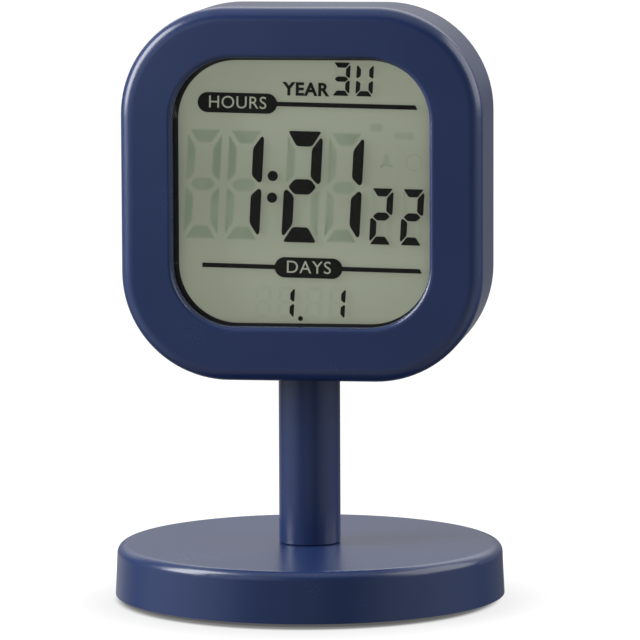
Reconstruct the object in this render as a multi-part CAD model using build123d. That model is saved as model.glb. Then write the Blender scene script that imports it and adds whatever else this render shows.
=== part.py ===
from build123d import *
import os

# A digital alarm clock: a rounded-square head on a round post and a weighted round base.
# Millimetres. The origin is the centre of the foot pad's underside, +Z is up, the display
# faces -Y and +X is on the viewer's right. Depths run back from the head's front face, and
# places on the head are (x, z) from the head's centre unless a name says otherwise.

# Running clearance between neighbours
CLEARANCE = 0.2

# Base
BASE_RADIUS = 38.0
BASE_DRAFT_DEG = 2.7
BASE_HEIGHT = 10.3
BASE_EDGE_RADIUS = 1.8
BASE_WALL = 2.0
SKIRT_GAP = 0.5
PAD_RADIUS = 33.5
PAD_THICK = 1.0
PAD_EDGE_RADIUS = 0.3
PLATE_RADIUS = 35.4
PLATE_THICK = 1.4
WEIGHT_RADIUS = 34.5
WEIGHT_BORE_RADIUS = 10.5
HUB_RADIUS = 9.0
HUB_DROP = 2.9
PLATE_SCREW_COUNT = 3
PLATE_SCREW_CIRCLE = 29.0
PLATE_BOSS_RADIUS = 2.6

# Post
POST_RADIUS = 6.0
SPIGOT_RADIUS = 4.0
SPIGOT_LENGTH = 4.8
POST_END_CHAMFER = 0.25
POST_TAPPING_DEPTH = 11.0
POST_SCREW_RADIUS = 1.95
POST_SCREW_REACH = 9.0
POST_SCREW_HEAD_RADIUS = 3.6
POST_SCREW_HEAD_HEIGHT = 2.0
WASHER_RADIUS = 6.2
WASHER_THICK = 0.8

# Head housing
HEAD_WIDTH = 70.0
HEAD_HEIGHT = 72.0
HEAD_DEPTH = 23.6
HEAD_CORNER_RADIUS = 20.8
HEAD_BOTTOM = 43.2
HEAD_FRONT_Y = -12.8
FRONT_EDGE_RADIUS = 2.7
BACK_EDGE_RADIUS = 0.6
CASE_WALL = 2.0
FRONT_WALL = 2.8
WINDOW_WIDTH = 49.8
WINDOW_HEIGHT = 51.8
WINDOW_CORNER_RADIUS = 12.0
WINDOW_RAISE = 0.4
WINDOW_EDGE_RADIUS = 0.9
POST_SEAT_RADIUS = 7.0
POST_SEAT_THICK = 5.0
COVER_THICK = 2.0
COVER_SEAT_INSET = 1.1
COVER_EDGE_RADIUS = 0.4
COVER_LIP_WALL = 1.0
COVER_LIP_HEIGHT = 1.5

# Fasteners of the head
CASE_SCREW_X = 30.4
CASE_SCREW_Z = 15.0
CASE_BOSS_RADIUS = 2.8
CASE_SCREW_RADIUS = 1.1
CASE_SCREW_REACH = 7.0
CASE_SCREW_HEAD_RADIUS = 2.1
CASE_SCREW_HEAD_HEIGHT = 1.0
SCREW_SEAT_DEPTH = 1.2
SCREW_SEAT_RADIUS = 2.4
CROSS_LENGTH = 2.3
CROSS_WIDTH = 0.5
CROSS_DEPTH = 0.6
BOARD_SCREW_SPOTS = [(-30.0, 0.0), (30.0, 0.0), (-12.0, 31.9), (12.0, 31.9)]
BOARD_BOSS_RADIUS = 1.9
BOARD_SCREW_RADIUS = 0.9
BOARD_SCREW_REACH = 4.0
BOARD_SCREW_HEAD_RADIUS = 1.7

# Display stack
TAPE_THICK = 0.15
LENS_THICK = 1.5
LENS_MARGIN = 1.5
HOLDER_LIP = 0.4
HOLDER_SIGHT = 0.5
HOLDER_WALL = 0.9
SIGHT_SHIFT = (0.2, -0.1)
GLASS_MARGIN = 0.75
GLASS_LEDGE = 1.6
GLASS_LEDGE_WIDTH = 49.0
GLASS_THICK = 0.55
GLASS_PLAY = 0.15
POLARISER_THICK = 0.2
CRYSTAL_GAP = 0.1
SEAL_WIDTH = 0.5
REFLECTOR_THICK = 0.2
ZEBRA_LENGTH = 48.0
ZEBRA_THICK = 1.2
FOAM_LENGTH = 44.0
FOAM_THICK = 3.0
BOARD_FRONT = 7.2
BOARD_THICK = 1.0
BOARD_LOW = -26.8

# Printed layout of the display, from a point just above the window's centre; the whole print sits
# slightly turned. A digit's size is its width, height, upright stroke, level stroke and gap
# between segments.
PRINT_LIFT = 0.18
PRINT_TURN_DEG = -1.2
DIGIT_SLANT = 0.035
RULE_THICK = 0.87
TIME_SIZE = (7.1, 21.5, 2.05, 2.95, 0.5)
SECOND_SIZE = (4.25, 10.85, 1.25, 1.55, 0.28)
SMALL_SIZE = (3.3, 6.4, 0.85, 1.0, 0.2)
LIT_DIGITS = [
    (TIME_SIZE, -11.7, 0.65, "bc"),
    (TIME_SIZE, -0.3, 0.65, "abged"),
    (TIME_SIZE, 7.75, 0.65, "bc"),
    (SECOND_SIZE, 15.15, -4.62, "abged"),
    (SECOND_SIZE, 21.1, -4.62, "abged"),
    (SMALL_SIZE, 6.95, 21.6, "abgcd"),
    (SMALL_SIZE, 11.45, 21.6, "bcdef"),
    (SMALL_SIZE, -3.1, -21.85, "bc"),
    (SMALL_SIZE, 6.8, -21.75, "bc"),
]
LIT_DOTS = [(-6.05, 2.6, 1.0), (-6.12, -1.6, 1.0), (-0.2, -24.85, 0.48)]
UPPER_RULE = (-6.0, 21.3, 16.5)
UPPER_PILL = (-13.15, 16.5, 15.45, 3.9)
LOWER_RULE = (-19.5, 22.75, -15.0)
LOWER_PILL = (1.2, -15.0, 13.2, 3.95)

# Mitres of a digit's segments, counted in its gaps
BAR_END_INSET = 1.2
UPRIGHT_OUTER_DROP = 3.1
UPRIGHT_TIP_INSET = 0.9
UPRIGHT_TIP_DROP = 2.3
UPRIGHT_INNER_DROP = 1.1
UPRIGHT_INNER_RISE = 0.9
UPRIGHT_OUTER_RISE = 1.8
MIDDLE_TIP_INSET = 1.6

# Buttons and switches
BUTTONS = {"mode": -19.5, "set": -6.5, "up": 6.5, "down": 19.5}
BUTTON_Z = 7.5
BUTTON_RADIUS = 2.8
BUTTON_PROUD = 1.2
BUTTON_EDGE_RADIUS = 0.6
BUTTON_TRAVEL = 0.5
FLANGE_RADIUS = 3.9
FLANGE_THICK = 0.8
FLANGE_GAP = 0.1
GUIDE_WALL = 0.9
GUIDE_HEIGHT = 3.0
STEM_ACROSS = 3.2
STEM_WEB = 0.9
SWITCH_SIDE = 6.0
SWITCH_HEIGHT = 3.3
PLUNGER_RADIUS = 1.6
PLUNGER_PLAY = 0.1
PLUNGER_PROUD = 1.2
PLUNGER_SUNK = 1.2

# Battery bay
BAY_WIDTH = 51.4
BAY_HEIGHT = 22.0
BAY_Z = -11.5
BAY_WALL = 1.2
BAY_FLOOR = 1.0
BAY_FRONT = 8.8
CELL_RADIUS = 5.2
CELL_BODY = 43.3
CELL_NUB_RADIUS = 1.8
CELL_NUB = 1.0
CELL_PITCH = 10.8
CELL_DEPTH = 15.2
RIDGE_HEIGHT = 2.8
RIDGE_LENGTH = 40.0
STRIP_THICK = 0.3
STRIP_FRONT = 12.2
STRIP_BACK = 18.2
STRIP_HALF = 4.2
STRIP_BEND_RADIUS = 0.8
DIMPLE_RADIUS = 1.6
DIMPLE_HEIGHT = 0.8
TAIL_WIDTH = 2.0
TAIL_PLAY = 0.2

# Battery door
DOOR_WIDTH = 52.8
DOOR_HEIGHT = 23.4
DOOR_CORNER_RADIUS = 1.2
DOOR_THICK = 1.5
DOOR_PLAY = 0.15
DOOR_SEAT_GAP = 0.1
DOOR_RIB_HEIGHT = 1.2
DOOR_RIB_WIDTH = 1.0
DOOR_RIB_SPOTS = [-14.0, 0.0, 14.0]
HOOK_SPOTS = [-16.0, 16.0]
HOOK_WIDTH = 6.0
HOOK_THICK = 1.0
HOOK_DROP = 1.5
HOOK_CLEARANCE = 0.2
LATCH_WIDTH = 10.0
LATCH_LENGTH = 6.0
LATCH_SLOT = 0.6
GRIP_COUNT = 3
GRIP_PITCH = 1.3
GRIP_WIDTH = 7.0
GRIP_BAR = 0.5
GRIP_PROUD = 0.35
NOTCH_WIDTH = 12.0
NOTCH_HEIGHT = 5.0
NOTCH_DEPTH = 1.1

# Sounder and board components
BUZZER_Z = 21.5
BUZZER_RADIUS = 9.6
BUZZER_THICK = 0.2
CERAMIC_RADIUS = 6.8
BUZZER_RING_WALL = 1.0
BUZZER_RING_HEIGHT = 1.5
SOUND_HOLE_RADIUS = 0.8
SOUND_HOLE_CIRCLE = 3.4
SOUND_HOLE_COUNT = 6
LEAD_RADIUS = 0.4
LEAD_BEND_RADIUS = 2.0
LEAD_START_X = 3.0
LEAD_END_X = 9.0
LEAD_END_Z = 25.0
CHIP_SPOT = (0.0, 16.5)
CHIP_RADIUS = 4.5
CHIP_HEIGHT = 1.4
CHIP_EDGE_RADIUS = 1.2
CRYSTAL_SPOT = (12.5, 15.5)
CRYSTAL_RADIUS = 1.05
CRYSTAL_LENGTH = 6.0
CAPACITOR_SPOTS = [(10.0, 19.0), (13.0, 19.0), (-10.0, 15.5)]
CAPACITOR_SIZE = (2.0, 1.25)
CAPACITOR_HEIGHT = 0.9

# Places worked out from the sizes above
HEAD_CENTRE_Z = HEAD_BOTTOM + HEAD_HEIGHT / 2
COVER_FRONT = HEAD_DEPTH - COVER_THICK
PLATE_TOP = PAD_THICK + PLATE_THICK
BASE_CEILING = BASE_HEIGHT - BASE_WALL
HUB_LOW = BASE_CEILING - HUB_DROP
POST_LOW = BASE_HEIGHT - SPIGOT_LENGTH
POST_TOP = HEAD_BOTTOM + SPIGOT_LENGTH
LENS_FRONT = FRONT_WALL + TAPE_THICK
HOLDER_FRONT = LENS_FRONT + LENS_THICK
POLARISER_FRONT = HOLDER_FRONT + HOLDER_LIP
GLASS_FRONT = POLARISER_FRONT + POLARISER_THICK
CRYSTAL_FRONT = GLASS_FRONT + GLASS_THICK
REAR_GLASS_FRONT = CRYSTAL_FRONT + CRYSTAL_GAP
REFLECTOR_FRONT = REAR_GLASS_FRONT + GLASS_THICK
REFLECTOR_BACK = REFLECTOR_FRONT + REFLECTOR_THICK
BOARD_BACK = BOARD_FRONT + BOARD_THICK
SWITCH_BACK = BOARD_BACK + SWITCH_HEIGHT
PLUNGER_BACK = SWITCH_BACK + PLUNGER_PROUD
PLUNGER_WELL = PLUNGER_SUNK + BUTTON_TRAVEL + CLEARANCE
FLANGE_BACK = COVER_FRONT - FLANGE_GAP
BAY_FLOOR_BACK = BAY_FRONT + BAY_FLOOR
BAY_LOW = BAY_Z - BAY_HEIGHT / 2
DOOR_FRONT = HEAD_DEPTH - DOOR_THICK
DOOR_TOP = BAY_Z + DOOR_HEIGHT / 2
DOOR_SEAT = DOOR_FRONT - DOOR_SEAT_GAP
BUZZER_BACK = COVER_FRONT - BUZZER_RING_HEIGHT
CERAMIC_BACK = BUZZER_BACK - BUZZER_THICK
CASE_SCREW_SPOTS = [(x, z) for x in (-CASE_SCREW_X, CASE_SCREW_X) for z in (-CASE_SCREW_Z, CASE_SCREW_Z)]
GLASS_WIDTH = WINDOW_WIDTH + 2 * GLASS_MARGIN
GLASS_HEIGHT = WINDOW_HEIGHT + 2 * GLASS_MARGIN
CONTACT_X = BAY_WIDTH / 2 - STRIP_THICK / 2
NUB_TIP_X = BAY_WIDTH / 2 - STRIP_THICK - DIMPLE_HEIGHT
CELL_END_X = CELL_BODY + CELL_NUB - NUB_TIP_X
UPPER_CELL_Z = BAY_Z + CELL_PITCH / 2
LOWER_CELL_Z = BAY_Z - CELL_PITCH / 2


def head_plane(depth):
    """Sketch plane in the head at a depth, seen from the front: x to the right, y up."""
    return Plane((0, HEAD_FRONT_Y + depth, HEAD_CENTRE_Z), x_dir=(1, 0, 0), z_dir=(0, -1, 0))


def slab(sketch, front, back):
    """Carry a front-view sketch straight back from one depth to another."""
    return extrude(head_plane(front) * sketch, amount=back - front, dir=(0, 1, 0))


def peg(spot, radius, front, back):
    """Round bar along the head's depth at a place on its front view."""
    return slab(Pos(*spot) * Circle(radius), front, back)


def level_bar(x, depth, z, radius, length):
    """Round bar along X, given by its middle in the head."""
    middle = (x, HEAD_FRONT_Y + depth, HEAD_CENTRE_Z + z)
    return Pos(*middle) * Rot(0, 90, 0) * Cylinder(radius, length)


def disc(radius, low, high, spot=(0, 0)):
    """Upright cylinder between two heights."""
    return Pos(*spot, (low + high) / 2) * Cylinder(radius, high - low)


def head_outline(inset=0.0):
    """Rounded square of the head, drawn in by an inset."""
    return RectangleRounded(HEAD_WIDTH - 2 * inset, HEAD_HEIGHT - 2 * inset, HEAD_CORNER_RADIUS - inset)


def window_outline(grow=0.0):
    """Rounded window of the bezel, grown or drawn in, at its place on the head."""
    width = WINDOW_WIDTH + 2 * grow
    height = WINDOW_HEIGHT + 2 * grow
    return Pos(0, WINDOW_RAISE) * RectangleRounded(width, height, WINDOW_CORNER_RADIUS + grow)


def panel(x_low, x_high, z_low, z_high):
    """Rectangle given by its four sides, from the window's centre."""
    spot = ((x_low + x_high) / 2, (z_low + z_high) / 2 + WINDOW_RAISE)
    return Pos(*spot) * Rectangle(x_high - x_low, z_high - z_low)


def ring_spots(count, radius, turn=90.0):
    """Places spread evenly on a circle."""
    return [Vector(radius, 0).rotate(Axis.Z, turn + 360 * i / count) for i in range(count)]


def cross_recess(spot, front, back):
    """Cross-shaped driver recess."""
    cross = Rectangle(CROSS_LENGTH, CROSS_WIDTH) + Rectangle(CROSS_WIDTH, CROSS_LENGTH)
    return slab(Pos(*spot) * cross, front, back)


def base_cover():
    """Drafted round shell with a hub for the post and bosses for the base plate."""
    skirt = Pos(0, 0, SKIRT_GAP) * Circle(BASE_RADIUS)
    cover = extrude(skirt, BASE_HEIGHT - SKIRT_GAP, taper=BASE_DRAFT_DEG)
    cover = fillet(cover.edges().group_by(Axis.Z)[-1], BASE_EDGE_RADIUS)
    hollow = Pos(0, 0, SKIRT_GAP) * Circle(BASE_RADIUS - BASE_WALL)
    cover -= extrude(hollow, BASE_CEILING - SKIRT_GAP, taper=BASE_DRAFT_DEG)
    cover += disc(HUB_RADIUS, HUB_LOW, BASE_CEILING)
    for spot in ring_spots(PLATE_SCREW_COUNT, PLATE_SCREW_CIRCLE):
        cover += disc(PLATE_BOSS_RADIUS, PLATE_TOP, BASE_CEILING, (spot.X, spot.Y))
        cover -= disc(CASE_SCREW_RADIUS, PLATE_TOP, BASE_CEILING, (spot.X, spot.Y))
    return cover - disc(SPIGOT_RADIUS, HUB_LOW, BASE_HEIGHT)


def base_weight():
    """Steel ring that fills the base, bored for the hub and the screw bosses."""
    weight = disc(WEIGHT_RADIUS, PLATE_TOP, BASE_CEILING)
    weight -= disc(WEIGHT_BORE_RADIUS, PLATE_TOP, BASE_CEILING)
    for spot in ring_spots(PLATE_SCREW_COUNT, PLATE_SCREW_CIRCLE):
        weight -= disc(PLATE_BOSS_RADIUS + CLEARANCE, PLATE_TOP, BASE_CEILING, (spot.X, spot.Y))
    return weight


def base_plate():
    """Closing plate of the base with sunk screw seats."""
    plate = disc(PLATE_RADIUS, PAD_THICK, PLATE_TOP)
    for spot in ring_spots(PLATE_SCREW_COUNT, PLATE_SCREW_CIRCLE):
        plate -= disc(CASE_SCREW_RADIUS, PAD_THICK, PLATE_TOP, (spot.X, spot.Y))
        plate -= disc(SCREW_SEAT_RADIUS, PAD_THICK, PAD_THICK + CASE_SCREW_HEAD_HEIGHT, (spot.X, spot.Y))
    return plate


def base_plate_screws():
    """Pan-head screws that hold the base plate to the cover."""
    screws = []
    for spot in ring_spots(PLATE_SCREW_COUNT, PLATE_SCREW_CIRCLE):
        seat = PAD_THICK + CASE_SCREW_HEAD_HEIGHT
        head = disc(CASE_SCREW_HEAD_RADIUS, PAD_THICK, seat, (spot.X, spot.Y))
        screws.append(head + disc(CASE_SCREW_RADIUS, seat, BASE_CEILING - PLATE_THICK, (spot.X, spot.Y)))
    return Compound(children=screws)


def foot_pad():
    """Soft disc that the clock stands on."""
    pad = disc(PAD_RADIUS, 0, PAD_THICK)
    return fillet(pad.edges().group_by(Axis.Z)[0], PAD_EDGE_RADIUS)


def post():
    """Turned column with a tapped spigot at each end."""
    column = disc(POST_RADIUS, BASE_HEIGHT, HEAD_BOTTOM)
    column = chamfer(column.edges().filter_by(GeomType.CIRCLE), POST_END_CHAMFER)
    column += disc(SPIGOT_RADIUS, POST_LOW, BASE_HEIGHT)
    column += disc(SPIGOT_RADIUS, HEAD_BOTTOM, POST_TOP)
    column -= disc(POST_SCREW_RADIUS, POST_LOW, POST_LOW + POST_TAPPING_DEPTH)
    return column - disc(POST_SCREW_RADIUS, POST_TOP - POST_TAPPING_DEPTH, POST_TOP)


def washer(low):
    """Plain washer, given by its lower face."""
    high = low + WASHER_THICK
    return disc(WASHER_RADIUS, low, high) - disc(POST_SCREW_RADIUS, low, high)


def post_screw(seat, upward):
    """Machine screw whose head bears on a seat height and whose shank runs into the post."""
    way = 1 if upward else -1
    under_head = seat - way * WASHER_THICK
    head_end = under_head - way * POST_SCREW_HEAD_HEIGHT
    tip = seat + way * POST_SCREW_REACH
    head = disc(POST_SCREW_HEAD_RADIUS, min(under_head, head_end), max(under_head, head_end))
    return head + disc(POST_SCREW_RADIUS, min(under_head, tip), max(under_head, tip))


def front_case():
    """Deep tub of the head: bezel and window, side walls, screw bosses and the post's seat."""
    case = slab(head_outline(), 0, HEAD_DEPTH)
    case = fillet(case.faces().sort_by(Axis.Y)[-1].edges(), BACK_EDGE_RADIUS)
    case = fillet(case.faces().sort_by(Axis.Y)[0].edges(), FRONT_EDGE_RADIUS)
    case -= slab(head_outline(CASE_WALL), FRONT_WALL, HEAD_DEPTH)
    case -= slab(head_outline(COVER_SEAT_INSET), COVER_FRONT, HEAD_DEPTH)
    case -= slab(window_outline(), 0, FRONT_WALL)
    case = fillet(case.faces().sort_by(Axis.Y)[0].inner_wires()[0].edges(), WINDOW_EDGE_RADIUS)
    for spot in CASE_SCREW_SPOTS:
        case += peg(spot, CASE_BOSS_RADIUS, FRONT_WALL, COVER_FRONT)
        case -= peg(spot, CASE_SCREW_RADIUS, COVER_FRONT - CASE_SCREW_REACH, COVER_FRONT)
    for spot in BOARD_SCREW_SPOTS:
        case += peg(spot, BOARD_BOSS_RADIUS, FRONT_WALL, BOARD_FRONT)
        case -= peg(spot, BOARD_SCREW_RADIUS, BOARD_FRONT - BOARD_SCREW_REACH, BOARD_FRONT)
    case += disc(POST_SEAT_RADIUS, HEAD_BOTTOM + CASE_WALL / 2, HEAD_BOTTOM + POST_SEAT_THICK)
    return case - disc(SPIGOT_RADIUS, HEAD_BOTTOM, HEAD_BOTTOM + POST_SEAT_THICK)


def bay_cells(radius):
    """Two bars along X where the cells lie."""
    upper = level_bar(0, CELL_DEPTH, UPPER_CELL_Z, radius, CELL_BODY)
    return upper + level_bar(0, CELL_DEPTH, LOWER_CELL_Z, radius, CELL_BODY)


def battery_bay():
    """Open-backed box for the cells, with a dividing ridge, contact slots and hook slots."""
    outside = Rectangle(BAY_WIDTH + 2 * BAY_WALL, BAY_HEIGHT + 2 * BAY_WALL)
    bay = slab(Pos(0, BAY_Z) * outside, BAY_FRONT, DOOR_SEAT)
    bay -= slab(Pos(0, BAY_Z) * Rectangle(BAY_WIDTH, BAY_HEIGHT), BAY_FLOOR_BACK, DOOR_SEAT)
    ridge = Pos(0, BAY_Z) * Rectangle(RIDGE_LENGTH, CELL_PITCH / 2)
    ridge_back = BAY_FLOOR_BACK + RIDGE_HEIGHT
    bay += slab(ridge, BAY_FRONT, ridge_back) - bay_cells(CELL_RADIUS + CLEARANCE)
    for z in (UPPER_CELL_Z, LOWER_CELL_Z):
        slot_x = -BAY_WIDTH / 2 + (STRIP_THICK + TAIL_PLAY) / 2
        slot = Pos(slot_x, z) * Rectangle(STRIP_THICK + TAIL_PLAY, TAIL_WIDTH + 2 * TAIL_PLAY)
        bay -= slab(slot, BAY_FRONT, BAY_FLOOR_BACK)
    for x in HOOK_SPOTS:
        slot = Pos(x, BAY_LOW - BAY_WALL / 2) * Rectangle(HOOK_WIDTH + 2 * HOOK_CLEARANCE, BAY_WALL)
        bay -= slab(slot, COVER_FRONT - 2 * HOOK_THICK, COVER_FRONT)
    return bay


def door_outline(grow=0.0):
    """Rounded rectangle of the battery door, grown by its play where the cover is cut for it."""
    outline = RectangleRounded(DOOR_WIDTH + 2 * grow, DOOR_HEIGHT + 2 * grow, DOOR_CORNER_RADIUS)
    return Pos(0, BAY_Z) * outline


def rear_cover():
    """Flush back plate with its locating lip, battery bay, button guides, sounder ring and holes."""
    cover = slab(head_outline(COVER_SEAT_INSET + DOOR_PLAY), COVER_FRONT, HEAD_DEPTH)
    cover = fillet(cover.faces().sort_by(Axis.Y)[-1].edges(), COVER_EDGE_RADIUS)
    lip_inset = CASE_WALL + DOOR_PLAY
    lip_outline = head_outline(lip_inset) - head_outline(lip_inset + COVER_LIP_WALL)
    lip = slab(lip_outline, COVER_FRONT - COVER_LIP_HEIGHT, COVER_FRONT)
    for spot in CASE_SCREW_SPOTS:
        lip -= peg(spot, CASE_BOSS_RADIUS + CLEARANCE, COVER_FRONT - COVER_LIP_HEIGHT, COVER_FRONT)
    cover += lip
    cover -= slab(Pos(0, BAY_Z) * Rectangle(BAY_WIDTH, BAY_HEIGHT), COVER_FRONT, HEAD_DEPTH)
    cover += battery_bay()
    cover -= slab(door_outline(DOOR_PLAY), DOOR_SEAT, HEAD_DEPTH)
    notch = Pos(0, DOOR_TOP) * SlotOverall(NOTCH_WIDTH, NOTCH_HEIGHT)
    cover -= slab(notch, HEAD_DEPTH - NOTCH_DEPTH, HEAD_DEPTH)
    guide_radius = FLANGE_RADIUS + CLEARANCE
    for x in BUTTONS.values():
        spot = (x, BUTTON_Z)
        guide = peg(spot, guide_radius + GUIDE_WALL, COVER_FRONT - GUIDE_HEIGHT, COVER_FRONT)
        cover += guide - peg(spot, guide_radius, COVER_FRONT - GUIDE_HEIGHT, COVER_FRONT)
        cover -= peg(spot, BUTTON_RADIUS + CLEARANCE, COVER_FRONT, HEAD_DEPTH)
    ring = peg((0, BUZZER_Z), BUZZER_RADIUS, BUZZER_BACK, COVER_FRONT)
    cover += ring - peg((0, BUZZER_Z), BUZZER_RADIUS - BUZZER_RING_WALL, BUZZER_BACK, COVER_FRONT)
    holes = [Vector(0, 0)] + ring_spots(SOUND_HOLE_COUNT, SOUND_HOLE_CIRCLE)
    for hole in holes:
        cover -= peg((hole.X, hole.Y + BUZZER_Z), SOUND_HOLE_RADIUS, COVER_FRONT, HEAD_DEPTH)
    for spot in CASE_SCREW_SPOTS:
        cover -= peg(spot, CASE_SCREW_RADIUS, COVER_FRONT, HEAD_DEPTH)
        cover -= peg(spot, SCREW_SEAT_RADIUS, HEAD_DEPTH - SCREW_SEAT_DEPTH, HEAD_DEPTH)
    return cover


def case_screws():
    """Self-tapping screws that hold the rear cover to the front case."""
    screws = []
    seat = HEAD_DEPTH - SCREW_SEAT_DEPTH
    top = seat + CASE_SCREW_HEAD_HEIGHT
    for spot in CASE_SCREW_SPOTS:
        screw = peg(spot, CASE_SCREW_HEAD_RADIUS, seat, top)
        screw += peg(spot, CASE_SCREW_RADIUS, COVER_FRONT - CASE_SCREW_REACH, seat)
        screws.append(screw - cross_recess(spot, top - CROSS_DEPTH, top))
    return Compound(children=screws)


def lens_tape():
    """Adhesive ring between the bezel and the lens."""
    ring = window_outline(LENS_MARGIN) - window_outline(GLASS_PLAY)
    return slab(ring, FRONT_WALL, LENS_FRONT)


def glass_outline(grow=0.0):
    """Front glass: a rectangle with a narrower contact ledge along its top."""
    half_width = GLASS_WIDTH / 2 + grow
    half_height = GLASS_HEIGHT / 2 + grow
    half_ledge = GLASS_LEDGE_WIDTH / 2 + grow
    sheet = panel(-half_width, half_width, -half_height, half_height)
    return sheet + panel(-half_ledge, half_ledge, 0, half_height + GLASS_LEDGE)


def lcd_holder():
    """Black frame, trimmed to the case, with a thin lip, a little off centre, in front of the glass."""
    side = GLASS_WIDTH / 2 + GLASS_PLAY + HOLDER_WALL
    end = GLASS_HEIGHT / 2 + GLASS_PLAY + HOLDER_WALL
    outside = panel(-side, side, -end, end + GLASS_LEDGE) & head_outline(CASE_WALL + GLASS_PLAY)
    holder = slab(outside, HOLDER_FRONT, BOARD_FRONT)
    holder -= slab(glass_outline(GLASS_PLAY), POLARISER_FRONT, BOARD_FRONT)
    sight = Pos(*SIGHT_SHIFT) * window_outline(-HOLDER_SIGHT)
    return holder - slab(sight, HOLDER_FRONT, POLARISER_FRONT)


def glass_sheet(front, thick):
    """Plain rectangular layer of the display."""
    half_width = GLASS_WIDTH / 2
    half_height = GLASS_HEIGHT / 2
    return slab(panel(-half_width, half_width, -half_height, half_height), front, front + thick)


def lcd_seal():
    """Glue line round the edge of the liquid-crystal cell."""
    half_width = GLASS_WIDTH / 2
    half_height = GLASS_HEIGHT / 2
    inner_width = half_width - SEAL_WIDTH
    inner_height = half_height - SEAL_WIDTH
    ring = panel(-half_width, half_width, -half_height, half_height)
    ring -= panel(-inner_width, inner_width, -inner_height, inner_height)
    return slab(ring, CRYSTAL_FRONT, REAR_GLASS_FRONT)


def digit_segments(size):
    """Seven segment outlines, keyed a to g, for a digit of width, height, strokes and gap."""
    width, height, stroke_x, stroke_z, gap = size
    side = width / 2
    top = height / 2
    inner = side - stroke_x
    half = stroke_z / 2
    end = side - BAR_END_INSET * gap
    tip = side - MIDDLE_TIP_INSET * gap
    upper = [(-end, top), (end, top), (inner, top - stroke_z), (-inner, top - stroke_z)]
    right = [
        (side, top - UPRIGHT_OUTER_DROP * gap),
        (side - UPRIGHT_TIP_INSET * gap, top - UPRIGHT_TIP_DROP * gap),
        (inner, top - stroke_z - UPRIGHT_INNER_DROP * gap),
        (inner, half + UPRIGHT_INNER_RISE * gap),
        (end, gap),
        (side, UPRIGHT_OUTER_RISE * gap),
    ]
    middle = [(-tip, 0), (-inner, half), (inner, half), (tip, 0), (inner, -half), (-inner, -half)]
    return {
        "a": upper,
        "b": right,
        "c": [(x, -z) for x, z in right],
        "d": [(x, -z) for x, z in upper],
        "e": [(-x, -z) for x, z in right],
        "f": [(-x, z) for x, z in right],
        "g": middle,
    }


def rule_and_pill(rule, pill):
    """Printed rule with a round-ended label field on it."""
    x_low, x_high, z = rule
    line = Pos((x_low + x_high) / 2, z) * Rectangle(x_high - x_low, RULE_THICK)
    pill_x, pill_z, length, height = pill
    return line + Pos(pill_x, pill_z) * SlotOverall(length, height)


def lcd_segments():
    """Dark figures of the display: lit digit segments, dots, and two rules with their label fields."""
    marks = []
    for size, centre_x, centre_z, lit in LIT_DIGITS:
        outlines = digit_segments(size)
        for letter in lit:
            points = [(centre_x + x + DIGIT_SLANT * z, centre_z + z) for x, z in outlines[letter]]
            marks.append(Polygon(*points))
    for x, z, radius in LIT_DOTS:
        marks.append(Pos(x, z) * Circle(radius))
    marks.append(rule_and_pill(UPPER_RULE, UPPER_PILL))
    marks.append(rule_and_pill(LOWER_RULE, LOWER_PILL))
    turned = Pos(0, WINDOW_RAISE + PRINT_LIFT) * Rot(0, 0, PRINT_TURN_DEG)
    return Compound(children=[slab(turned * mark, CRYSTAL_FRONT, REAR_GLASS_FRONT) for mark in marks])


def zebra_strip():
    """Conductive rubber strip from the glass ledge to the board."""
    half = ZEBRA_LENGTH / 2
    low = (GLASS_HEIGHT + GLASS_LEDGE - ZEBRA_THICK) / 2
    return slab(panel(-half, half, low, low + ZEBRA_THICK), CRYSTAL_FRONT, BOARD_FRONT)


def foam_strip():
    """Foam that presses the lower edge of the display forward."""
    half = FOAM_LENGTH / 2
    low = -GLASS_HEIGHT / 2 + SEAL_WIDTH
    return slab(panel(-half, half, low, low + FOAM_THICK), REFLECTOR_BACK, BOARD_FRONT)


def main_board():
    """Circuit board cut to the case, cleared round the case bosses and above the post's screw."""
    outline = head_outline(CASE_WALL + HOLDER_WALL)
    below = BOARD_LOW - HEAD_HEIGHT / 2
    outline -= Pos(0, below) * Rectangle(HEAD_WIDTH, HEAD_HEIGHT)
    for spot in CASE_SCREW_SPOTS:
        outline -= Pos(*spot) * Circle(CASE_BOSS_RADIUS + CLEARANCE)
    for spot in BOARD_SCREW_SPOTS:
        outline -= Pos(*spot) * Circle(BOARD_SCREW_RADIUS)
    return slab(outline, BOARD_FRONT, BOARD_BACK)


def board_screws():
    """Small screws that hold the board to the front case."""
    screws = []
    for spot in BOARD_SCREW_SPOTS:
        screw = peg(spot, BOARD_SCREW_HEAD_RADIUS, BOARD_BACK, BOARD_BACK + CASE_SCREW_HEAD_HEIGHT)
        screws.append(screw + peg(spot, BOARD_SCREW_RADIUS, BOARD_FRONT - BOARD_SCREW_REACH, BOARD_BACK))
    return Compound(children=screws)


def clock_chip():
    """Epoxy drop over the bonded clock chip."""
    drop = peg(CHIP_SPOT, CHIP_RADIUS, BOARD_BACK, BOARD_BACK + CHIP_HEIGHT)
    return fillet(drop.faces().sort_by(Axis.Y)[-1].edges(), CHIP_EDGE_RADIUS)


def quartz_crystal():
    """Tuning-fork crystal can lying on the board."""
    x, z = CRYSTAL_SPOT
    return level_bar(x, BOARD_BACK + CRYSTAL_RADIUS, z, CRYSTAL_RADIUS, CRYSTAL_LENGTH)


def board_capacitors():
    """Chip capacitors on the board."""
    chips = []
    top = BOARD_BACK + CAPACITOR_HEIGHT
    for spot in CAPACITOR_SPOTS:
        chips.append(slab(Pos(*spot) * Rectangle(*CAPACITOR_SIZE), BOARD_BACK, top))
    return Compound(children=chips)


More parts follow.
